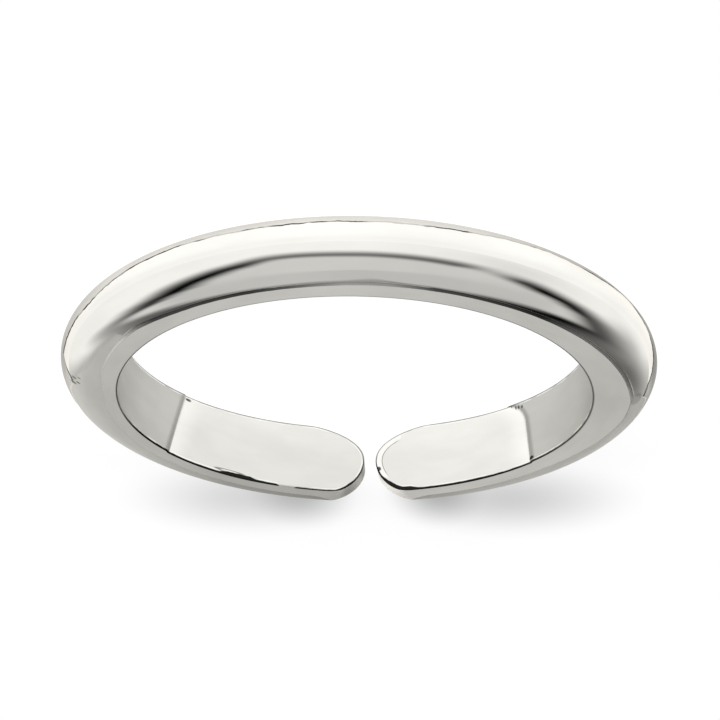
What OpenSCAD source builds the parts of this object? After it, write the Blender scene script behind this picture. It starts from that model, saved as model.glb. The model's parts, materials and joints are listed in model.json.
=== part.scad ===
// Open toe ring: one domed silver band, bent round a toe, with a narrow gap between two tongue ends.
// It lies flat on its lower side. Z is the axis of the toe hole, and the gap faces +Y.
// Millimetres.

/* [Toe hole] */
// Diameter of the round hole for the toe
hole_d = 14; // [12:0.5:20]

/* [Band] */
// Width of the band, along the axis of the hole
band_w = 2.16; // [1.6:0.02:4]
// Thickness of the band, from the hole to the crown of its dome
band_t = 1.82; // [1.4:0.02:2.6]
// Height of the flat sides, from the hole to where the dome begins
side_h = 0.4; // [0.2:0.02:0.6]
// Shift of the dome's axis towards -X, which makes that side of the ring the thicker one
dome_shift_x = 0.1; // [0:0.01:0.2]
// Shift of the dome's axis towards the gap
dome_shift_y = 0.06; // [0:0.01:0.2]

/* [Gap and tongue ends] */
// Width of the gap between the two tips, at the hole
gap_w = 0.35; // [0.1:0.05:2]
// Length of the short rounding on the upper corner of each end
upper_round = 1.25; // [0.6:0.05:2]
// Length of the long rounding on the lower corner of each end
lower_round = 2.2; // [0.6:0.05:3]
// How far past the sides the roundings aim, so that they meet the sides at a slight corner
corner_rise = 0.05; // [0.02:0.01:0.2]
// How far past the sides the dome's rounding towards each tip aims
run_out_rise = 0.08; // [0.02:0.01:0.2]
// How far past the tip that rounding aims, so that it leaves a wall across the tip
run_out_past = 0.1; // [0.05:0.01:0.3]

/* [Pressed pads] */
// Length of the pad inside the +X end, from its tip along the hole
long_pad = 6.4; // [3:0.1:8]
// Length of the pad inside the -X end, from its tip along the hole
short_pad = 5.1; // [3:0.1:8]
// Depth of the pads in the wall of the hole
pad_depth = 0.05; // [0.02:0.01:0.15]

/* [Hidden] */
$fn = 180;
hole_r = hole_d / 2;
half_w = band_w / 2;
dome_h = band_t - side_h;
dome_start = hole_r + side_h;
// Half of the gap, as an angle at the axis of the hole
tip_angle = asin(gap_w / hole_d);
// Distance by which the cutters pass the faces that they cut through
over = 1;
// Radius that lies outside the whole ring
reach = hole_r + band_t + dome_shift_x + dome_shift_y + over;
// Distance by which each end's cutter passes its tip, which is past the middle of the gap at the
// dome and short of the other tip at the hole
past_tip = gap_w * 3 / 4;

// Angle at the axis of the hole for a length along its wall
function wall_angle(length) = length / hole_r * 180 / PI;

// Half of an oval beside the Y axis, as thick as the dome
module half_oval(half_height) {
    intersection() {
        scale([dome_h, half_height])
            circle(1);
        translate([0, -half_height])
            square([dome_h, 2 * half_height]);
    }
}

// Outline of the solid disc that the ring is cut from, beside the Y axis
module disc_outline() {
    translate([0, -half_w])
        square([dome_start, band_w]);
    translate([dome_start, 0])
        half_oval(half_w);
}

// Solid disc with a domed rim, resting on its lower side
module domed_disc() {
    translate([-dome_shift_x, dome_shift_y, half_w])
        rotate_extrude()
            disc_outline();
}

// Round hole for the toe, through both sides
module toe_hole() {
    translate([0, 0, -over])
        cylinder(h = band_w + 2 * over, r = hole_r);
}

// Upper half of a tongue outline, with its tip at the origin and its length along +X
module tongue_half(round_length) {
    intersection() {
        union() {
            translate([round_length, 0])
                scale([round_length, half_w + corner_rise])
                    circle(1);
            translate([round_length, 0])
                square(reach);
        }
        square(reach);
    }
}

// Cuts the +X end to the outline of its tongue, and opens its half of the gap
module outline_cutter() {
    length = past_tip + max(upper_round, lower_round);
    translate([0, reach, 0])
        rotate([90, 0, 0])
            linear_extrude(reach)
                difference() {
                    translate([-past_tip, -half_w - over])
                        square([length, band_w + 2 * over]);
                    tongue_half(upper_round);
                    mirror([0, 1])
                        tongue_half(lower_round);
                }
}

// Rounds the outside of the +X end, where the dome runs out towards the tip
module run_out_cutter() {
    translate([0, dome_start, 0])
        difference() {
            translate([-past_tip, 0, -half_w - over])
                cube([past_tip + dome_h - run_out_past, reach, band_w + 2 * over]);
            translate([dome_h - run_out_past, 0, 0])
                rotate_extrude()
                    half_oval(half_w + run_out_rise);
        }
}

module end_cutter() {
    rotate([0, 0, -tip_angle])
        translate([0, 0, half_w]) {
            outline_cutter();
            run_out_cutter();
        }
}

// Presses a pad into the wall of the hole, inside the +X end
module pad_cutter(length) {
    angle = tip_angle + wall_angle(length);
    rotate([0, 0, 90 - angle])
        translate([0, 0, -over])
            rotate_extrude(angle = angle)
                square([hole_r + pad_depth, band_w + 2 * over]);
}

module band() {
    color("silver")
        difference() {
            domed_disc();
            toe_hole();
            end_cutter();
            mirror([1, 0, 0])
                end_cutter();
            pad_cutter(long_pad);
            mirror([1, 0, 0])
                pad_cutter(short_pad);
        }
}

band();
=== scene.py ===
import json
import math

import bpy
import numpy as np
from mathutils import Matrix, Vector


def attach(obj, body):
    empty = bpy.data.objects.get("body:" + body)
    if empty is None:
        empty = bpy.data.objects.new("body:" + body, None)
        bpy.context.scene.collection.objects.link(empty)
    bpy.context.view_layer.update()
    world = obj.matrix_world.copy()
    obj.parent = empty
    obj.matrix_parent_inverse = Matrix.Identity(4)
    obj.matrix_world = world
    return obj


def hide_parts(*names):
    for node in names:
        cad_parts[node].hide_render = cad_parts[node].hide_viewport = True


# Open toe ring of polished silver, lying on its side on a pale floor.
# Lengths are in millimetres until the mesh is made, which is in metres. "Along" is the distance from
# the +X tip along the wall of the hole, "reach" the straight distance from the nearer tip, "side" the
# height above the middle of the band, and "height" that above its lower side.

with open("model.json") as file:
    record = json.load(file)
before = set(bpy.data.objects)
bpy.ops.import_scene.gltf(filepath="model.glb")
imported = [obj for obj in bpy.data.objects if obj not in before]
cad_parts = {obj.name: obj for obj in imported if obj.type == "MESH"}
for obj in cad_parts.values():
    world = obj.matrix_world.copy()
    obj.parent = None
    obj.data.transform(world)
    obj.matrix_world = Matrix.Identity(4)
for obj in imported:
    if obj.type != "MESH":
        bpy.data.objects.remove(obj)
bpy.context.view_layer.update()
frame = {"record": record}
clamp = frame["record"]["mounts"][0]["dims"]

MM = 0.001

# Sizes of the band
HOLE_R = clamp["r_mm"]
HALF_W = clamp["length_mm"] / 2
SIDE_H = 0.4
DOME_H = 1.42
DOME_START = HOLE_R + SIDE_H
DOME_SHIFT = (-0.10, 0.06)
GAP_W = 0.35
TIP_ANGLE = math.asin(GAP_W / 2 / HOLE_R)
SPAN = 2 * (math.pi - TIP_ANGLE) * HOLE_R

# Tongue ends: the lengths of their roundings, how far those aim past the sides, and how softly they end
UPPER_ROUND = 1.25
LOWER_ROUND = 2.2
CORNER_RISE = 0.05
CORNER_SOFT = 0.09

# Rounding of the dome towards each tip: how far it aims past the sides and past the tip, and how softly
RUN_OUT_RISE = 0.02
RUN_OUT_PAST = 0.1
RUN_OUT_SOFT = 0.08

# Pads: their lengths from the tips at mid-width, how far that grows from the lower to the upper side,
# their depth, the width of the slope where each ends, and the rounding of the shorter one's lower corner
LONG_PAD = 6.49
SHORT_PAD = 5.28
LONG_PAD_SKEW = 0.73
SHORT_PAD_SKEW = 0.35
PAD_DEPTH = 0.05
PAD_SLOPE = 0.16
SHORT_PAD_CORNER = 0.75

# How far the roundings grow for each mm away from the hole, as the ends are filed rounder outside
ROUND_GROWTH = 0.8

# How far the upper side spreads over the dome at the front, where it was ground, by distance along
SIDE_SPREAD = (
    (10, 0),
    (13, 0.30),
    (15.7, 0.50),
    (17.2, 0.40),
    (20.9, 0.41),
    (22.6, 0.46),
    (24.4, 0.41),
    (26, 0.37),
    (28.5, 0.40),
    (30, 0.46),
    (31, 0.52),
    (32.2, 0.61),
    (33.2, 0.70),
    (34.4, 0.62),
    (37, 0.27),
    (39.5, 0),
)

# Radius of the worn edges
EDGE_R = 0.05

# Mesh: rings of vertices along the band, and lanes across it
TIP_ZONE = 3.0
TIP_RINGS = 90
MIDDLE_RINGS = 620
HOLE_LANES = 16
DOME_LANES = 72
WALL_SHARES = (0.03, 0.15, 0.3, 0.45, 0.6, 0.75, 0.87, 0.94, 0.97)
EDGE_STEPS = (0.0, 0.06, 0.2, 0.42, 0.7, 1.0)
HALVINGS = 40

# Silver where it is polished
SILVER = (0.93, 0.915, 0.87, 1)

# Share of that silver on the hole's wall and on the two pads, how far it rises towards a pad's lower
# edge and its end as a painted highlight, and how matte the wall is
HOLE_TONE = 0.63
LONG_PAD_TONE = 0.78
SHORT_PAD_TONE = 0.84
PAD_LOW_HIGHLIGHT = 0.07
PAD_END_HIGHLIGHT = 0.12
HOLE_MATTE = 0.6

# Share of the silver on the flat sides, and on the satin flanks of the dome, low and high, by distance
# along. These are painted shade and highlight, not the silver's own colour: darker or lighter along the
# band, and darker low on the dome
SIDE_SHADED_TONE = (
    (0, 0.85),
    (2, 0.80),
    (4.5, 0.80),
    (6, 0.90),
    (13, 0.93),
    (18, 1.00),
    (22, 1.06),
    (26, 0.98),
    (31, 0.98),
    (33, 0.92),
    (38, 1.02),
    (40, 1.00),
    (SPAN, 0.98),
)
FLANK_SHADED_TONE = (
    (0, 0.55),
    (4, 0.55),
    (6, 0.70),
    (10, 0.72),
    (12, 0.65),
    (16, 0.82),
    (25, 0.82),
    (29, 0.62),
    (32, 0.50),
    (36, 0.60),
    (41, 0.60),
    (SPAN, 0.55),
)
UPPER_FLANK_SHADED_TONE = (
    (0, 0.60),
    (4, 0.72),
    (6, 0.92),
    (9, 1.00),
    (35, 1.00),
    (39, 0.96),
    (SPAN - 2, 0.80),
    (SPAN, 0.70),
)

# Heights between which the darker painted shade of the dome's low flank passes into its high one
FLANK_SPLIT = (1.5, 2.0)

# Half-width of the border of the polish, how many times softer its upper limit on the dome is, and how
# jagged the lower one
BORDER_HALF = 0.015
POLISH_SOFT = 4
BORDER_JITTER = 0.1

# Heights between which the dome is polished, by distance along
POLISH_FROM = (
    (0, 0.60),
    (8.0, 0.90),
    (10.6, 1.95),
    (11.6, 1.80),
    (12.3, 1.40),
    (13.7, 1.22),
    (14.8, 1.12),
    (15.6, 0.94),
    (16.6, 0.77),
    (18.0, 0.65),
    (22.3, 0.58),
    (24.5, 0.62),
    (27.0, 0.53),
    (28.0, 0.63),
    (29.9, 0.68),
    (31.2, 1.07),
    (32.1, 1.40),
    (33.0, 1.75),
    (34.5, 1.95),
    (37.5, 0.90),
    (SPAN, 0.60),
)
POLISH_TO = (
    (0, 1.70),
    (10.8, 1.70),
    (11.6, 1.87),
    (12.6, 1.99),
    (15.0, 2.03),
    (15.6, 2.30),
    (31.0, 2.30),
    (31.6, 2.08),
    (32.2, 2.06),
    (33.1, 2.00),
    (33.8, 1.70),
    (SPAN, 1.70),
)

# Dark line along the jagged border: distances from the border where it is full and where it is gone
BORDER_LINE = (0.008, 0.04)

# Painted shade in the soft crease just outside the pads' ends: its distance from them, half-width and
# darkness
CREASE_PLACE = 0.08
CREASE_HALF = 0.2
CREASE_SHADE = 0.3

# Painted shade in the upper edge of the hole, as a dark line: its width, below zero where it is broken
# off, and darkness, by distance along
RIM_WIDTH = (
    (0, 0.03),
    (0.5, 0.05),
    (1.0, 0.025),
    (2.1, 0.03),
    (2.2, -0.02),
    (2.6, -0.02),
    (2.7, 0.05),
    (3.4, 0.06),
    (3.6, 0.12),
    (4.4, 0.12),
    (4.7, 0.05),
    (8.5, 0.038),
    (10, 0.02),
    (34, 0.02),
    (38, 0.035),
    (SPAN - 3.2, 0.055),
    (SPAN - 1.4, 0.055),
    (SPAN - 1.1, 0.12),
    (SPAN - 0.5, 0.12),
    (SPAN - 0.2, 0.05),
    (SPAN, 0.03),
)
RIM_SHADE = (
    (0, 0.80),
    (0.4, 0.97),
    (8.5, 0.97),
    (10, 0.55),
    (34, 0.55),
    (37, 0.80),
    (39, 0.97),
    (SPAN, 0.97),
)

# Width and darkness of the thin line of painted shade in the hole's lower edge
LOWER_RIM_SHADE = (0.045, 0.6)

# Painted shade in the crease between the upper side and the dome, as a dark line: its width on the side,
# and by distance along its width on the dome and its darkness
SIDE_LINE_WIDTH = 0.03
SIDE_LINE_REACH = (
    (15.2, 0.03),
    (16, 0.07),
    (19.3, 0.07),
    (20.3, 0.03),
    (23.8, 0.03),
    (24.8, 0.07),
    (31, 0.07),
    (32.5, 0.03),
)
SIDE_LINE_SHADE = (
    (14.9, 0),
    (15.6, 0.5),
    (16.4, 0.85),
    (19.5, 0.9),
    (20.5, 0.8),
    (22, 0.4),
    (23.2, 0.45),
    (24.3, 0.85),
    (27.5, 0.95),
    (28.2, 0.8),
    (29.5, 0.5),
    (30.5, 0.5),
    (32, 0.6),
    (33, 0.4),
    (33.3, 0),
)

# Marks: along, height, half-length, half-height and darkness
HOLE_MARKS = (
    (6.00, 0.13, 0.16, 0.06, 0.85),
    (0.30, 2.02, 0.22, 0.06, 0.60),
    (SPAN - 4.80, 0.15, 0.05, 0.07, 0.70),
    (SPAN - 4.94, 0.17, 0.05, 0.07, 0.70),
    (SPAN - 5.09, 0.20, 0.05, 0.07, 0.70),
    (SPAN - 5.49, 2.03, 0.15, 0.08, 0.85),
    (SPAN - 0.10, 1.40, 0.10, 0.10, 0.90),
)
DOME_MARKS = (
    (11.45, 1.84, 0.06, 0.08, 0.80),
    (11.60, 1.93, 0.05, 0.05, 0.70),
    (11.75, 1.85, 0.05, 0.07, 0.70),
    (11.90, 1.94, 0.04, 0.04, 0.60),
    (33.40, 1.96, 0.40, 0.12, 0.25),
)

# Oval scratch above the rim of the longer pad: along, height, half-length and half-height, where its line
# runs as a share of them, and its darkness
SCRATCH = (4.33, 2.03, 0.55, 0.055)
SCRATCH_LINE = 0.8
SCRATCH_INK = 0.6

# Line of painted shade inside the bevel of the -X tip, which is painted and not in the mesh: its distance
# from the outline, how far from the tip and how high it goes, over what length it fades there, its
# half-width and darkness
BEVEL_LINE = 0.22
BEVEL_LENGTH = 0.8
BEVEL_TOP = 1.7
BEVEL_FADE = 0.2
BEVEL_WIDTH = 0.025
BEVEL_SHADE = 0.7

# Coarse hatching across the end of the +X tip: length, over what part of it the lines fade, lines for
# each mm, and darkness
HATCH_LENGTH = 0.75
HATCH_FADE = 0.3
HATCH_LINES = 9
HATCH_INK = 0.35

# Roughness of the polish, the satin and the matte flanks, and what the dark lines add to it
POLISH_ROUGH = 0.04
SATIN_ROUGH = 0.24
MATTE_ROUGH = 0.54
INK_ROUGH = 0.3

# Depth of the brushing, the dark lines and the marks in the surface
RELIEF = 0.004

# Camera: the photograph's frame, and where the middle of the ring lies in it, in pixels, its scale, and
# the camera's distance in mm and angles. It is above the floor and nearly upside down, as the photograph
# has the gap, which lies behind, at its bottom
FRAME_PX = 720
CENTRE_PX = (355.37, 365.53)
PX_PER_MM = 33.77
CAMERA_DISTANCE = 128.74
CAMERA_ELEVATION = math.radians(24.58)
CAMERA_AZIMUTH = math.radians(-4)
CAMERA_ROLL = math.radians(0.94)
SENSOR_MM = 36

# Studio: radiance of the walls, back and ceiling, the last in front and behind, as shares of pure white.
# Azimuths run from the camera's side towards +X, and all angles here are in degrees
WALL_LIGHT = 0.96
BACK_LIGHT = 0.575
CEILING_LIGHT = (0.63, 0.55)

# Azimuths between which the walls pass into the back, and the ceiling's front into its rear, and
# elevations between which the walls pass into the ceiling
WALL_TO_BACK = (140, 160)
CEILING_TO_REAR = (80, 130)
WALL_TO_CEILING = (34, 54)

# Dark seam between the walls and the ceiling: azimuth, elevation and darkness, and how far the seam
# spreads up and down
SEAM = (
    (-180, 60, 0.40),
    (-174, 50, 0.97),
    (-168, 47, 1.00),
    (-158, 45, 1.00),
    (-145, 38, 0.88),
    (-132, 39, 0.88),
    (-118, 42, 0.98),
    (-98, 46, 1.00),
    (-86, 46, 0.93),
    (-66, 45, 0.35),
    (-48, 48, 0.80),
    (0, 47, 0.75),
    (34, 43, 0.80),
    (58, 49, 0.97),
    (80, 51, 1.00),
    (105, 51, 1.00),
    (120, 46, 0.94),
    (134, 36, 0.65),
    (148, 43, 0.80),
    (160, 47, 0.94),
    (170, 53, 0.60),
    (180, 60, 0.40),
)
SEAM_UP = 11
SEAM_DOWN = 19

# Soft dark cards below the seam: azimuth, elevation, half-width, half-height and darkness
CARDS = (
    (150, 16, 12, 36, 0.45),
    (-160, 24, 20, 36, 0.70),
    (-140, 24, 30, 24, 0.55),
    (-65, 22, 50, 40, 0.17),
)

# Floor: half its length, and how far it lies under the ring's side, which keeps their faces apart
FLOOR_HALF = 500
FLOOR_DROP = 0.01

# Glow and lightness of the floor, and the pool of light round the ring: its glow, and where it ends
FLOOR_GLOW = 0.80
FLOOR_WHITE = 0.2
POOL_GLOW = 0.10
POOL_START = 8.6
POOL_END = 13

# Soft shadows on the floor behind the two ends: x, y, half-length, half-width and darkness
SHADOWS = (
    (2.6, 12.4, 2.0, 3.2, 0.45),
    (4.4, 12.7, 4.6, 3.6, 0.35),
    (-1.8, 12.4, 1.8, 3.2, 0.52),
    (-4.2, 13.0, 4.8, 3.6, 0.42),
)

# Low key light from the camera's side: energy, spread and elevation
KEY_ENERGY = 5.0
KEY_SPREAD = math.radians(24)
KEY_ELEVATION = math.radians(18)


def smooth(low, high, value):
    """Rises smoothly from 0 at low to 1 at high."""
    share = np.clip((value - low) / (high - low), 0, 1)
    return share * share * (3 - 2 * share)


def softly_lower(first, second, width):
    """The lower of two values, rounded off where they are closer than width."""
    overlap = np.clip(width - np.abs(first - second), 0, None)
    return np.minimum(first, second) - overlap**2 / (4 * width)


def from_table(table, along):
    """Value at a distance along the band, between the rows of a table."""
    places, values = zip(*table)
    return np.interp(along, places, values)


def tip_angle_of(along):
    """Angle at the hole's axis from the nearer tip, a quarter turn at most."""
    return np.minimum(np.minimum(along, SPAN - along) / HOLE_R, math.pi / 2)


def edge_height(reach, rounding):
    """Half-width of a tongue, cut off softly by the flat side."""
    inside = np.clip((rounding - reach) / rounding, 0, 1)
    tongue = (HALF_W + CORNER_RISE) * np.sqrt(1 - inside**2)
    return softly_lower(tongue, HALF_W, CORNER_SOFT)


def edge_distance(reach, side):
    """Distance from a tongue's outline."""
    rounding = np.where(side > 0, UPPER_ROUND, LOWER_ROUND)
    half = HALF_W + CORNER_RISE
    inside = np.clip(rounding - reach, 0, None)
    level = 1 - (inside / rounding) ** 2 - (side / half) ** 2
    slope = 2 * np.hypot(inside / rounding**2, side / half**2)
    return np.clip(np.minimum(level / np.maximum(slope, 1e-9), HALF_W - np.abs(side)), 0, None)


def worn(distance, radius):
    """Depth that a rounded edge takes off a face, at a distance from the edge."""
    radius = np.maximum(radius, 1e-6)
    left = radius - np.minimum(distance, radius)
    return radius - np.sqrt(radius**2 - left**2)


def inside_pads(along, side):
    """Distance inside the nearer pad's end, below zero outside it."""
    skew = side / (2 * HALF_W)
    long_pad = LONG_PAD + LONG_PAD_SKEW * skew - along
    short_pad = SHORT_PAD + SHORT_PAD_SKEW * skew - (SPAN - along)
    corner = np.clip((SHORT_PAD_CORNER - HALF_W - side) / SHORT_PAD_CORNER, 0, 1)
    short_pad = short_pad - SHORT_PAD_CORNER * (1 - np.sqrt(1 - corner**2))
    return np.maximum(long_pad, short_pad)


def pad_depth(along, side):
    """Depth of the pads at a point of the hole's wall."""
    return PAD_DEPTH * smooth(-PAD_SLOPE / 2, PAD_SLOPE / 2, inside_pads(along, side))


def run_out(along, side):
    """Distance from the hole's axis to the rounding that ends the dome towards each tip."""
    angle = tip_angle_of(along)
    centre = DOME_H - RUN_OUT_PAST
    middle = centre * np.sin(angle) + DOME_START * np.cos(angle)
    oval = DOME_H**2 * (1 - (side / (HALF_W + RUN_OUT_RISE)) ** 2)
    level = np.clip(middle**2 - centre**2 - DOME_START**2 + oval, 0, None)
    radius = np.maximum(middle + np.sqrt(level), DOME_START / np.maximum(np.cos(angle), 0.1))
    return np.where(radius * np.sin(angle) < centre, radius, 2 * DOME_START)


def dome_radius(along, turn, depth=0.0):
    """Distance from the hole's axis to the dome. Turn is the angle round its half oval."""
    normal = np.stack([np.cos(turn) / DOME_H, np.sin(turn) / HALF_W])
    normal /= np.hypot(*normal)
    radius = DOME_START + DOME_H * np.cos(turn) - depth * normal[0]
    side = HALF_W * np.sin(turn) - depth * normal[1]
    angle = TIP_ANGLE + along / HOLE_R
    shift = DOME_SHIFT[0] * np.sin(angle) + DOME_SHIFT[1] * np.cos(angle)
    spread = math.hypot(*DOME_SHIFT)
    radius = shift + np.sqrt(radius**2 - spread**2 + shift**2)
    return softly_lower(radius, run_out(along, side) - depth, RUN_OUT_SOFT), side


def dome_edge(along, rounding, spread):
    """Angle round the half oval where a side or a tongue's outline cuts the dome, found by halving."""
    low = np.zeros_like(along)
    high = np.arccos(spread / DOME_H)
    for _ in range(HALVINGS):
        turn = (low + high) / 2
        radius, side = dome_radius(along, turn)
        reach = radius * np.sin(tip_angle_of(along))
        outside = edge_height(reach, rounding + ROUND_GROWTH * (radius - HOLE_R)) < side
        high = np.where(outside, turn, high)
        low = np.where(outside, low, turn)
    return (low + high) / 2


def ring_places():
    """Distances along the band of the rings of vertices, close together at the rounded tips."""
    near = TIP_ZONE * np.linspace(0, 1, TIP_RINGS) ** 2
    middle = np.linspace(TIP_ZONE, SPAN - TIP_ZONE, MIDDLE_RINGS)[1:-1]
    return np.concatenate([near, middle, SPAN - near[::-1]])[:, None]


def hole_sheet(along):
    """Radii and sides of the wall of the hole, from the lower edge to the upper one."""
    reach = (HOLE_R + EDGE_R) * np.sin(tip_angle_of(along))
    top = edge_height(reach, UPPER_ROUND)
    bottom = -edge_height(reach, LOWER_ROUND)
    edge = np.minimum(EDGE_R, (top - bottom) / 2) * np.array(EDGE_STEPS)
    share = np.linspace(0, 1, HOLE_LANES + 2)[1:-1]
    inner = bottom + edge[:, -1:] + share * (top - bottom - 2 * edge[:, -1:])
    side = np.hstack([bottom + edge, inner, (top - edge)[:, ::-1]])
    distance = edge_distance(HOLE_R * np.sin(tip_angle_of(along)), side)
    distance[:, 0] = distance[:, -1] = 0
    return HOLE_R + pad_depth(along, side) + worn(distance, EDGE_R), side


def dome_sheet(along):
    """Radii and sides of the dome, from the upper edge to the lower one."""
    top = dome_edge(along, UPPER_ROUND, from_table(SIDE_SPREAD, along))
    bottom = -dome_edge(along, LOWER_ROUND, np.zeros_like(along))
    share = np.linspace(0, 1, DOME_LANES)
    share = 0.6 * share + 0.2 * (1 - np.cos(math.pi * share))
    turn = top + (bottom - top) * share
    radius, side = dome_radius(along, turn)
    distance = edge_distance(radius * np.sin(tip_angle_of(along)), side)
    distance[:, 0] = distance[:, -1] = 0
    edge = EDGE_R * np.cos(np.where(turn > 0, top, bottom))
    return dome_radius(along, turn, worn(distance, edge))


def wall_sheet(along, start, end, rounding):
    """Radii and sides from the hole's edge to the dome's: a flat side, or the wall of a tongue."""
    radius = start + (end - start) * np.array(WALL_SHARES)
    grown = rounding + ROUND_GROWTH * (radius - HOLE_R)
    return radius, edge_height(radius * np.sin(tip_angle_of(along)), grown)


def hole_tone(along, side):
    """Share of the silver on the hole's wall: most on the pads, with painted highlights beside their ends
    and lower edges and on the -X tip's bevel, which is not in the mesh.
    """
    inside = inside_pads(along, side)
    pad = np.where(along < SPAN / 2, LONG_PAD_TONE, SHORT_PAD_TONE)
    pad = pad + PAD_LOW_HIGHLIGHT * smooth(0, -HALF_W, side)
    pad = pad + PAD_END_HIGHLIGHT * smooth(1.0, 0.1, inside)
    # The bevel of the -X tip is a painted highlight: full silver where it would catch the light
    bevel = (SPAN - along < BEVEL_LENGTH) & (side < BEVEL_TOP - HALF_W)
    bevel = bevel & (edge_distance(HOLE_R * np.sin(tip_angle_of(along)), side) < BEVEL_LINE)
    return np.where(bevel, 1, HOLE_TONE + (pad - HOLE_TONE) * smooth(-0.12, 0.08, inside))


# The looks are values for the material: tone is the share of the silver, with painted shade and
# highlight in it, finish and edge are above zero where it is polished, rim is below zero in a dark line
# of painted shade and ink is that line's darkness, hole and dome are 1 on these and 0 elsewhere, and
# matte is a share of added roughness
def hole_looks(along, side):
    """Values on the hole's wall for its material."""
    edge = edge_distance(HOLE_R * np.sin(tip_angle_of(along)), side)
    along = np.broadcast_to(along, side.shape)
    return {
        "tone": hole_tone(along, side),
        "finish": inside_pads(along, side),
        "edge": edge,
        "rim": edge - np.where(side > 0, from_table(RIM_WIDTH, along), LOWER_RIM_SHADE[0]),
        "ink": np.where(side > 0, from_table(RIM_SHADE, along), LOWER_RIM_SHADE[1]),
        "hole": np.ones_like(side),
        "dome": np.zeros_like(side),
        "matte": np.full_like(side, HOLE_MATTE),
    }


def dome_looks(along, side, radius):
    """Values on the dome for its material."""
    height = side + HALF_W
    along = np.broadcast_to(along, side.shape)
    low = height - from_table(POLISH_FROM, along)
    high = from_table(POLISH_TO, along) - height
    flank = from_table(FLANK_SHADED_TONE, along)
    upper = from_table(UPPER_FLANK_SHADED_TONE, along)
    return {
        # Painted shade: darker on the low flank of the dome, lighter on the high one
        "tone": flank + (upper - flank) * smooth(*FLANK_SPLIT, height),
        "finish": high / POLISH_SOFT,
        "edge": np.where(high > 0, low, 1),
        "rim": np.hypot(radius - radius[:, :1], side - side[:, :1]) - from_table(SIDE_LINE_REACH, along),
        "ink": from_table(SIDE_LINE_SHADE, along),
        "hole": np.zeros_like(side),
        "dome": np.ones_like(side),
        "matte": smooth(0.2, -0.1, high),
    }


def wall_looks(along, radius, edge_radius):
    """Values on a flat side for its material. The thin line of painted shade is at the radius
    edge_radius.
    """
    along = np.broadcast_to(along, radius.shape)
    return {
        "tone": from_table(SIDE_SHADED_TONE, along),
        "finish": -np.ones_like(radius),
        "edge": np.ones_like(radius),
        "rim": edge_radius - radius - SIDE_LINE_WIDTH,
        "ink": from_table(SIDE_LINE_SHADE, along),
        "hole": np.zeros_like(radius),
        "dome": np.zeros_like(radius),
        "matte": np.zeros_like(radius),
    }


def band_sheets():
    """Radii, sides and looks of all vertices, ring by ring."""
    along = ring_places()
    hole_r, hole_side = hole_sheet(along)
    dome_r, dome_side = dome_sheet(along)
    upper_r, upper_side = wall_sheet(along, hole_r[:, -1:], dome_r[:, :1], UPPER_ROUND)
    lower_r, lower_side = wall_sheet(along, hole_r[:, :1], dome_r[:, -1:], LOWER_ROUND)
    radius = np.hstack([hole_r, upper_r, dome_r, lower_r[:, ::-1]])
    side = np.hstack([hole_side, upper_side, dome_side, -lower_side[:, ::-1]])
    sheets = [
        hole_looks(along, hole_side),
        wall_looks(along, upper_r, dome_r[:, :1]),
        dome_looks(along, dome_side, dome_r),
        wall_looks(along, lower_r[:, ::-1], dome_r[:, -1:]),
    ]
    looks = {name: np.hstack([sheet[name] for sheet in sheets]) for name in sheets[0]}
    return along, radius, side, looks


def weld(points):
    """Joins vertices that fall together at the tips. Returns the first of each and all new numbers."""
    keys = np.round(points * 1e5).astype(np.int64)
    _, first, number = np.unique(keys, axis=0, return_index=True, return_inverse=True)
    return first, number.ravel()


def band_faces(rings, lanes, number):
    """Faces between neighbouring rings, as four or three vertices each."""
    faces = []
    for ring in range(rings - 1):
        for lane in range(lanes):
            here = ring * lanes + lane
            beside = ring * lanes + (lane + 1) % lanes
            corners = [number[i] for i in (here, beside, beside + lanes, here + lanes)]
            face = [c for i, c in enumerate(corners) if c != corners[i - 1]]
            if len(set(face)) > 2:
                faces.append(face)
    return faces


def make_band():
    along, radius, side, looks = band_sheets()
    angle = TIP_ANGLE + along / HOLE_R
    points = np.stack([radius * np.sin(angle), radius * np.cos(angle), side + HALF_W], -1)
    places = np.stack([np.broadcast_to(along, side.shape), side + HALF_W, radius - HOLE_R], -1)
    points = points.reshape(-1, 3)
    first, number = weld(points)
    mesh = bpy.data.meshes.new("ring_band")
    mesh.from_pydata((points[first] * MM).tolist(), [], band_faces(*side.shape, number))
    layer = mesh.attributes.new("place", "FLOAT_VECTOR", "POINT")
    layer.data.foreach_set("vector", places.reshape(-1, 3)[first].astype(np.float32).ravel())
    for name, values in looks.items():
        layer = mesh.attributes.new(name, "FLOAT", "POINT")
        layer.data.foreach_set("value", values.ravel()[first].astype(np.float32))
    mesh.polygons.foreach_set("use_smooth", [True] * len(mesh.polygons))
    mesh.validate()
    band = bpy.data.objects.new("ring_band", mesh)
    bpy.context.scene.collection.objects.link(band)
    return band


def put(tree, kind, **settings):
    """Adds a node and sets its properties."""
    node = tree.nodes.new(kind)
    for name, value in settings.items():
        setattr(node, name, value)
    return node


def feed(tree, socket, value):
    """Gives an input a number, or links it to an output."""
    if isinstance(value, bpy.types.NodeSocket):
        tree.links.new(value, socket)
    else:
        socket.default_value = value


def calculate(tree, operation, *values):
    """A Math node over numbers and sockets."""
    node = put(tree, "ShaderNodeMath", operation=operation)
    for socket, value in zip(node.inputs, values):
        feed(tree, socket, value)
    return node.outputs[0]


def attribute(tree, name, output="Fac"):
    return put(tree, "ShaderNodeAttribute", attribute_name=name).outputs[output]


def remap(tree, value, low, high, first, last, curve="SMOOTHSTEP"):
    """A Map Range node: first at low, last at high."""
    node = put(tree, "ShaderNodeMapRange", interpolation_type=curve)
    names = ("Value", "From Min", "From Max", "To Min", "To Max")
    for name, number in zip(names, (value, low, high, first, last)):
        feed(tree, node.inputs[name], number)
    return node.outputs["Result"]


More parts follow.
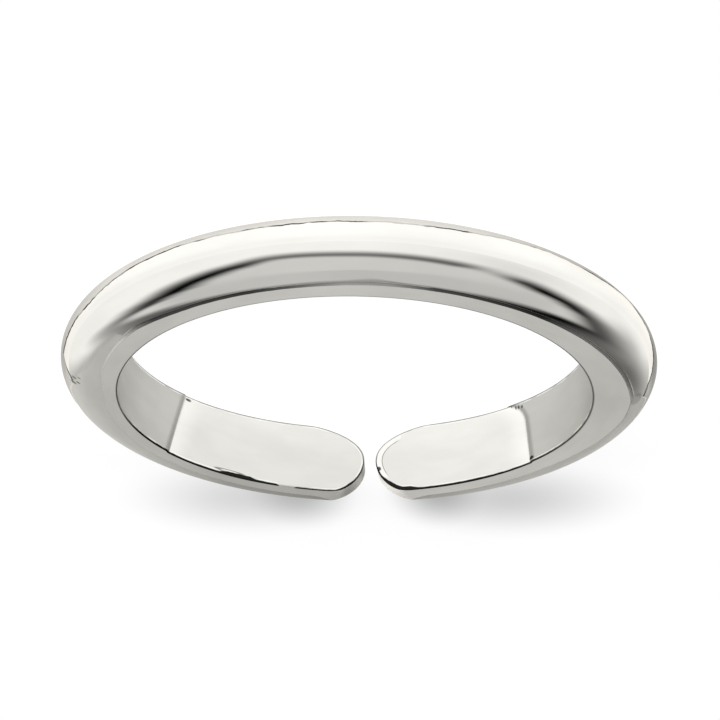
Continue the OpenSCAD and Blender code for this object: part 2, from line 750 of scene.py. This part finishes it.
def noise(tree, place, stretch, detail=3.0):
    """Noise between 0 and 1, with its waves for each mm along, in height and outward."""
    spread = put(tree, "ShaderNodeVectorMath", operation="MULTIPLY")
    tree.links.new(place, spread.inputs[0])
    spread.inputs[1].default_value = stretch
    node = put(tree, "ShaderNodeTexNoise")
    tree.links.new(spread.outputs[0], node.inputs["Vector"])
    node.inputs["Scale"].default_value = 1
    node.inputs["Detail"].default_value = detail
    return node.outputs["Fac"]


def oval_distance(tree, place, centre, radii):
    """Distance from the centre of an oval, 1 at its outline."""
    node = put(tree, "ShaderNodeVectorMath", operation="MULTIPLY_ADD")
    tree.links.new(place, node.inputs[0])
    node.inputs[1].default_value = (1 / radii[0], 1 / radii[1], 0)
    node.inputs[2].default_value = (-centre[0] / radii[0], -centre[1] / radii[1], 0)
    length = put(tree, "ShaderNodeVectorMath", operation="LENGTH")
    tree.links.new(node.outputs[0], length.inputs[0])
    return length.outputs["Value"]


def darken(tree, light, ink):
    """Takes a share of ink off the light."""
    return calculate(tree, "MULTIPLY", light, calculate(tree, "SUBTRACT", 1, ink))


def border_line_and_crease_shade(tree, border, finish, wander):
    """Broken dark line along the polished part of the dome, and softer painted shade in the creases at
    the pads' ends.
    """
    line = remap(tree, calculate(tree, "ABSOLUTE", border), *BORDER_LINE, 1, 0)
    line = calculate(tree, "MULTIPLY", line, remap(tree, wander, 0.42, 0.58, 0.3, 0.95))
    on_dome = calculate(tree, "MULTIPLY", line, attribute(tree, "dome"))
    # Painted shade in the crease just outside each pad's end
    away = calculate(tree, "ABSOLUTE", calculate(tree, "ADD", finish, CREASE_PLACE))
    crease = remap(tree, away, 0, CREASE_HALF, CREASE_SHADE, 0)
    in_hole = calculate(tree, "MULTIPLY", crease, attribute(tree, "hole"))
    return calculate(tree, "ADD", on_dome, in_hole)


def edge_shade_lines(tree, jitter):
    """Painted shade: dark lines in the edges of the hole, and in the crease between the upper side and
    the dome.
    """
    rim = calculate(tree, "MULTIPLY_ADD", jitter, 0.03, attribute(tree, "rim"))
    return remap(tree, rim, -0.008, 0.012, attribute(tree, "ink"), 0)


def painted_glint_share(tree, wander):
    """Painted highlight: a bright broken line beside the dark one in the edges of the hole."""
    rim = attribute(tree, "rim")
    line = remap(tree, rim, 0.005, 0.02, 0, 1)
    line = calculate(tree, "MULTIPLY", line, remap(tree, rim, 0.03, 0.06, 1, 0))
    line = calculate(tree, "MULTIPLY", line, remap(tree, wander, 0.42, 0.55, 0, 0.9))
    return calculate(tree, "MULTIPLY", line, attribute(tree, "hole"))


def mark_ink(tree, place, marks, mask):
    """Small dark marks on one face of the band."""
    light = 1
    for along, height, length, width, ink in marks:
        away = oval_distance(tree, place, (along, height), (length, width))
        light = darken(tree, light, remap(tree, away, 0.5, 1, ink, 0))
    return calculate(tree, "MULTIPLY", calculate(tree, "SUBTRACT", 1, light), mask)


def scratch_ink(tree, place):
    """Oval scratch above the rim of the longer pad."""
    away = oval_distance(tree, place, SCRATCH[:2], SCRATCH[2:])
    off = calculate(tree, "ABSOLUTE", calculate(tree, "SUBTRACT", away, SCRATCH_LINE))
    line = remap(tree, off, 0.1, 0.35, SCRATCH_INK, 0)
    return calculate(tree, "MULTIPLY", line, attribute(tree, "hole"))


def bevel_shade_line(tree, along, height):
    """Painted shade: thin line inside the bevel of the -X tip."""
    off = calculate(tree, "ABSOLUTE", calculate(tree, "SUBTRACT", attribute(tree, "edge"), BEVEL_LINE))
    line = remap(tree, off, 0, BEVEL_WIDTH, BEVEL_SHADE, 0)
    near = remap(tree, along, SPAN - BEVEL_LENGTH, SPAN - BEVEL_LENGTH + BEVEL_FADE, 0, 1)
    low = remap(tree, height, BEVEL_TOP - BEVEL_FADE, BEVEL_TOP, 1, 0)
    for share in (near, low, attribute(tree, "hole")):
        line = calculate(tree, "MULTIPLY", line, share)
    return line


def hatch_ink(tree, along, outward):
    """Coarse hatching across the end of the +X tip."""
    across = calculate(tree, "ADD", along, outward)
    wave = calculate(tree, "SINE", calculate(tree, "MULTIPLY", across, HATCH_LINES * 2 * math.pi))
    near = remap(tree, along, HATCH_LENGTH - HATCH_FADE, HATCH_LENGTH, HATCH_INK, 0)
    lines = calculate(tree, "MULTIPLY", near, remap(tree, wave, -0.6, 0.6, 0.3, 1))
    return darken(tree, lines, attribute(tree, "hole"))


def towards_one(tree, value, share):
    """Moves a value towards 1 by a share."""
    return calculate(tree, "MULTIPLY_ADD", calculate(tree, "SUBTRACT", 1, value), share, value)


def polished_share(tree, border, finish):
    """1 on the polished part of the dome and on the pads, and 0 elsewhere."""
    share = remap(tree, border, -BORDER_HALF, BORDER_HALF, 0, 1)
    return calculate(tree, "MULTIPLY", share, remap(tree, finish, -BORDER_HALF, BORDER_HALF, 0, 1))


def silver_tone(tree, place, polished, brushed, wander):
    """Share of the silver: all of it on the polished dome, with faint clouds, brushing and painted
    glints.
    """
    bright = calculate(tree, "MULTIPLY", polished, attribute(tree, "dome"))
    tone = towards_one(tree, attribute(tree, "tone"), bright)
    clouds = noise(tree, place, (0.5, 1.4, 1.4), 2.0)
    tone = calculate(tree, "MULTIPLY", tone, remap(tree, clouds, 0.3, 0.7, 0.965, 1.02))
    grain = calculate(tree, "SUBTRACT", brushed, 0.5)
    depth = calculate(tree, "MULTIPLY_ADD", polished, -0.05, 0.06)
    tone = calculate(tree, "MULTIPLY_ADD", calculate(tree, "MULTIPLY", grain, depth), tone, tone)
    # Painted glints lift the tone towards full silver
    return towards_one(tree, tone, painted_glint_share(tree, wander))


def silver_light(tree, place, border, jitter, wander):
    """Share of the light that the painted shade lines, the border line and the marks leave."""
    parts = put(tree, "ShaderNodeSeparateXYZ")
    tree.links.new(place, parts.inputs[0])
    along, height, outward = parts.outputs
    inks = (
        border_line_and_crease_shade(tree, border, attribute(tree, "finish"), wander),
        edge_shade_lines(tree, jitter),
        mark_ink(tree, place, HOLE_MARKS, attribute(tree, "hole")),
        mark_ink(tree, place, DOME_MARKS, attribute(tree, "dome")),
        scratch_ink(tree, place),
        bevel_shade_line(tree, along, height),
        hatch_ink(tree, along, outward),
    )
    light = 1
    for ink in inks:
        light = darken(tree, light, ink)
    return light


def silver_roughness(tree, polished, brushed, light):
    """Smooth where it is polished, satin elsewhere, and rough in the dark lines."""
    rough = remap(tree, attribute(tree, "matte"), 0, 1, SATIN_ROUGH, MATTE_ROUGH, "LINEAR")
    drop = calculate(tree, "SUBTRACT", POLISH_ROUGH, rough)
    rough = calculate(tree, "MULTIPLY_ADD", polished, drop, rough)
    rough = calculate(tree, "ADD", rough, remap(tree, brushed, 0.3, 0.7, -0.01, 0.02))
    return calculate(tree, "ADD", rough, remap(tree, light, 0, 1, INK_ROUGH, 0, "LINEAR"))


def silver_normal(tree, brushed, light):
    """Relief of the brushing, the dark lines and the marks."""
    bump = put(tree, "ShaderNodeBump")
    bump.inputs["Strength"].default_value = 0.3
    bump.inputs["Distance"].default_value = RELIEF * MM
    feed(tree, bump.inputs["Height"], calculate(tree, "MULTIPLY_ADD", brushed, 0.08, light))
    return bump.outputs["Normal"]


def silver():
    """Polished on the dome and the pads, a satin grey elsewhere, with painted shade lines in its edges
    and creases and painted highlights beside them.
    """
    material = bpy.data.materials.new("polished_silver")
    material.use_nodes = True
    tree = material.node_tree
    shader = tree.nodes["Principled BSDF"]
    shader.inputs["Metallic"].default_value = 1
    place = attribute(tree, "place", "Vector")
    jitter = calculate(tree, "SUBTRACT", noise(tree, place, (4, 4, 4)), 0.5)
    wander = noise(tree, place, (1.1, 1.1, 1.1))
    brushed = noise(tree, place, (1.2, 26, 26))

    border = calculate(tree, "MULTIPLY_ADD", jitter, BORDER_JITTER, attribute(tree, "edge"))
    border = calculate(tree, "ADD", border, attribute(tree, "hole"))
    polished = polished_share(tree, border, attribute(tree, "finish"))
    tone = silver_tone(tree, place, polished, brushed, wander)
    light = silver_light(tree, place, border, jitter, wander)

    colour = put(tree, "ShaderNodeMix", data_type="RGBA", clamp_factor=False)
    feed(tree, colour.inputs[0], calculate(tree, "MULTIPLY", tone, light))
    colour.inputs[6].default_value = (0, 0, 0, 1)
    colour.inputs[7].default_value = SILVER
    feed(tree, shader.inputs["Base Color"], colour.outputs[2])
    feed(tree, shader.inputs["Specular Tint"], colour.outputs[2])
    feed(tree, shader.inputs["Roughness"], silver_roughness(tree, polished, brushed, light))
    feed(tree, shader.inputs["Normal"], silver_normal(tree, brushed, light))
    return material


def ramp(tree, value, stops):
    """A ColorRamp over 0 to 1 that gives one number."""
    node = put(tree, "ShaderNodeValToRGB")
    node.color_ramp.interpolation = "EASE"
    elements = node.color_ramp.elements
    for place, level in stops[1:-1]:
        elements.new(place).color = (level, level, level, 1)
    elements[0].position = stops[0][0]
    elements[0].color = (stops[0][1],) * 3 + (1,)
    elements[-1].position = stops[-1][0]
    elements[-1].color = (stops[-1][1],) * 3 + (1,)
    tree.links.new(value, node.inputs["Fac"])
    return node.outputs["Color"]


def sky_angles(tree):
    """Azimuth from the camera's side towards +X, and elevation, of a direction in the studio."""
    direction = put(tree, "ShaderNodeTexCoord").outputs["Generated"]
    parts = put(tree, "ShaderNodeSeparateXYZ")
    tree.links.new(direction, parts.inputs[0])
    x, y, z = parts.outputs
    turn = calculate(tree, "ARCTAN2", x, calculate(tree, "MULTIPLY", y, -1))
    azimuth = calculate(tree, "MULTIPLY", turn, 180 / math.pi)
    elevation = calculate(tree, "MULTIPLY", calculate(tree, "ARCSINE", z), 180 / math.pi)
    return azimuth, elevation


def seam_share(tree, azimuth, elevation):
    """Darkness of the seam between the walls and the ceiling."""
    turn = remap(tree, azimuth, -180, 180, 0, 1, "LINEAR")
    height = ramp(tree, turn, [((a + 180) / 360, h / 90) for a, h, _ in SEAM])
    depth = ramp(tree, turn, [((a + 180) / 360, d) for a, _, d in SEAM])
    over = calculate(tree, "SUBTRACT", elevation, calculate(tree, "MULTIPLY", height, 90))
    above = remap(tree, over, 0, SEAM_UP, 1, 0)
    below = remap(tree, over, -SEAM_DOWN, 0, 0, 1)
    return calculate(tree, "MULTIPLY", calculate(tree, "MULTIPLY", above, below), depth)


def card_share(tree, azimuth, elevation, card):
    """Darkness of one soft card."""
    place, middle, width, height, ink = card
    aside = calculate(tree, "ABSOLUTE", calculate(tree, "SUBTRACT", azimuth, place))
    off = calculate(tree, "ABSOLUTE", calculate(tree, "SUBTRACT", elevation, middle))
    across = remap(tree, aside, 0, width, ink, 0)
    return calculate(tree, "MULTIPLY", across, remap(tree, off, 0, height, 1, 0))


def make_studio():
    """Light tent: pale walls, a greyer ceiling and back, and a dark seam between walls and ceiling."""
    world = bpy.data.worlds.new("studio")
    bpy.context.scene.world = world
    world.use_nodes = True
    tree = world.node_tree
    azimuth, elevation = sky_angles(tree)
    aside = calculate(tree, "ABSOLUTE", azimuth)
    wall = remap(tree, aside, *WALL_TO_BACK, WALL_LIGHT, BACK_LIGHT)
    ceiling = remap(tree, aside, *CEILING_TO_REAR, *CEILING_LIGHT)
    light = remap(tree, elevation, *WALL_TO_CEILING, wall, ceiling)
    light = darken(tree, light, seam_share(tree, azimuth, elevation))
    for card in CARDS:
        light = darken(tree, light, card_share(tree, azimuth, elevation, card))
    tree.links.new(light, tree.nodes["Background"].inputs["Color"])


def floor_glow(tree):
    """Glow of the floor: more in the pool of light round the ring, less in the shadows of its ends."""
    place = put(tree, "ShaderNodeNewGeometry").outputs["Position"]
    away = put(tree, "ShaderNodeVectorMath", operation="LENGTH")
    tree.links.new(place, away.inputs[0])
    pool = (POOL_START * MM, POOL_END * MM)
    glow = remap(tree, away.outputs["Value"], *pool, FLOOR_GLOW + POOL_GLOW, FLOOR_GLOW)
    for x, y, length, width, ink in SHADOWS:
        off = oval_distance(tree, place, (x * MM, y * MM), (length * MM, width * MM))
        glow = darken(tree, glow, remap(tree, off, 0, 1, ink, 0))
    return glow


def floor_white():
    """Matte white that glows, so that the floor stays white beside the ring."""
    material = bpy.data.materials.new("floor_white")
    material.use_nodes = True
    tree = material.node_tree
    shader = tree.nodes["Principled BSDF"]
    shader.inputs["Base Color"].default_value = (FLOOR_WHITE,) * 3 + (1,)
    shader.inputs["Roughness"].default_value = 1
    shader.inputs["Specular IOR Level"].default_value = 0
    shader.inputs["Emission Color"].default_value = (1, 1, 1, 1)
    tree.links.new(floor_glow(tree), shader.inputs["Emission Strength"])
    return material


def make_floor():
    half = FLOOR_HALF * MM
    mesh = bpy.data.meshes.new("floor")
    corners = [(-half, -half, 0), (half, -half, 0), (half, half, 0), (-half, half, 0)]
    mesh.from_pydata(corners, [], [(0, 1, 2, 3)])
    floor = bpy.data.objects.new("floor", mesh)
    floor.location.z = -FLOOR_DROP * MM
    bpy.context.scene.collection.objects.link(floor)
    mesh.materials.append(floor_white())


def make_key():
    """Low, wide light from the camera's side, which lights the floor and isn't mirrored in the ring."""
    light = bpy.data.lights.new("key", "SUN")
    light.energy = KEY_ENERGY
    light.angle = KEY_SPREAD
    key = bpy.data.objects.new("key", light)
    key.rotation_euler = (math.pi / 2 - KEY_ELEVATION, 0, 0)
    key.visible_glossy = False
    bpy.context.scene.collection.objects.link(key)


def camera_axes():
    """Directions of the image's right and of the way back to the camera."""
    turn = Matrix.Rotation(CAMERA_AZIMUTH, 3, "Z")
    back = Vector((0, -math.cos(CAMERA_ELEVATION), math.sin(CAMERA_ELEVATION)))
    right = Vector((-1, 0, 0))
    right.rotate(Matrix.Rotation(CAMERA_ROLL, 3, back))
    return turn @ right, turn @ back


def make_camera():
    right, back = camera_axes()
    up = back.cross(right)
    data = bpy.data.cameras.new("camera")
    data.sensor_width = SENSOR_MM
    data.lens = SENSOR_MM * CAMERA_DISTANCE * PX_PER_MM / FRAME_PX
    data.clip_start = 0.01
    data.clip_end = 10
    camera = bpy.data.objects.new("camera", data)
    bpy.context.scene.collection.objects.link(camera)
    aside = right * (FRAME_PX / 2 - CENTRE_PX[0]) / PX_PER_MM
    lift = -up * (FRAME_PX / 2 - CENTRE_PX[1]) / PX_PER_MM
    place = Vector((0, 0, HALF_W)) + back * CAMERA_DISTANCE + aside + lift
    axes = Matrix((right, up, back)).transposed().to_4x4()
    camera.matrix_world = Matrix.Translation(place * MM) @ axes
    bpy.context.scene.camera = camera


make_camera()
make_studio()
make_floor()
make_key()
band = make_band()
band.data.materials.append(silver())
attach(band, "root")
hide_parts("band")
bpy.context.scene.view_settings.view_transform = "Standard"
